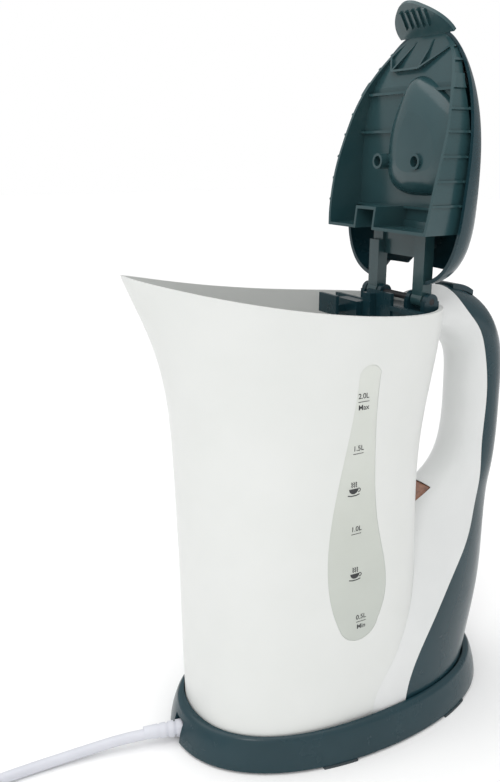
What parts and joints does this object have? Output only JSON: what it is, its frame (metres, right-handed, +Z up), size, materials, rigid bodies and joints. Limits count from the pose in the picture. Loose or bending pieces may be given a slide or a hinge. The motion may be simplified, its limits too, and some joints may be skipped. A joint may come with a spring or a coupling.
{
  "type": "electric kettle",
  "caption": "Cordless jug kettle with a white body, S-shaped water window, dark hinged lid standing open, dark handle spine and a corded oval power base.",
  "frame": {"origin": "on the table under the middle of the kettle, its lead and plug left out", "axes": "+Z up, the spout points towards -X, the handle towards +X, and the water window is on the -Y side"},
  "size_m": [0.4098, 0.2035, 0.3997],
  "materials": {
    "dark_plastic": "satin dark teal moulded plastic",
    "white_plastic": "satin milky white moulded plastic",
    "window_plastic": "frosted translucent grey",
    "black_plastic": "matt black heat-proof plastic",
    "amber_plastic": "translucent copper brown",
    "foot_rubber": "matt rubber",
    "seal_rubber": "silicone rubber",
    "cord_sheath": "soft PVC, pale grey",
    "wire_insulation": "PVC insulation",
    "screw_steel": "zinc plated",
    "element_steel": "stainless",
    "pin_nickel": "nickel plated",
    "contact_brass": "plain",
    "lamp_glass": "clear orange"
  },
  "bodies": {
    "base": {"base_shell": "dark_plastic", "base_bottom_plate": "dark_plastic", "base_feet": "foot_rubber", "base_screws": "screw_steel", "base_connector": "black_plastic", "connector_contacts": "contact_brass", "base_leads": "wire_insulation", "cord_clamp": "black_plastic", "strain_relief": "cord_sheath", "power_cord": "cord_sheath", "cord_coil": "cord_sheath", "plug_lead": "cord_sheath", "plug_body": "cord_sheath", "plug_pins": "pin_nickel"},
    "jug": {"jug_body": "white_plastic", "handle_shell": "white_plastic", "water_window": "window_plastic", "handle_cover": "dark_plastic", "cover_screws": "screw_steel", "bottom_cover": "dark_plastic", "bottom_screws": "screw_steel", "element_flange": "element_steel", "element_gasket": "seal_rubber", "heating_element": "element_steel", "control_unit": "black_plastic", "bimetal_disc": "contact_brass", "jug_inlet": "black_plastic", "control_leads": "wire_insulation", "pilot_lamp": "lamp_glass", "steam_tube": "seal_rubber", "steam_duct": "white_plastic", "hinge_bracket": "dark_plastic", "hinge_pin": "screw_steel", "rocker_pin": "screw_steel"},
    "lid": {"lid_cover": "dark_plastic", "lid_liner": "dark_plastic", "lid_screws": "screw_steel"},
    "rocker": {"switch_rocker": "amber_plastic"},
    "release_button": {"lid_release_button": "dark_plastic"}
  },
  "joints": [
    {"name": "jug_lift", "type": "slide", "parent": "base", "child": "jug", "axis": [0, 0, 1], "range_m": [0, 0.06]},
    {"name": "lid_hinge", "type": "hinge", "parent": "jug", "child": "lid", "pos_m": [0.0425, 0, 0.247], "axis": [0, -1, 0], "range_deg": [0, 88]},
    {"name": "rocker_tilt", "type": "hinge", "parent": "jug", "child": "rocker", "pos_m": [0.072, 0, 0.112], "axis": [0, -1, 0], "range_deg": [0, 12]},
    {"name": "button_press", "type": "slide", "parent": "jug", "child": "release_button", "axis": [0, 0, -1], "range_m": [0, 0.003], "stiffness_N_per_m": 400}
  ]
}
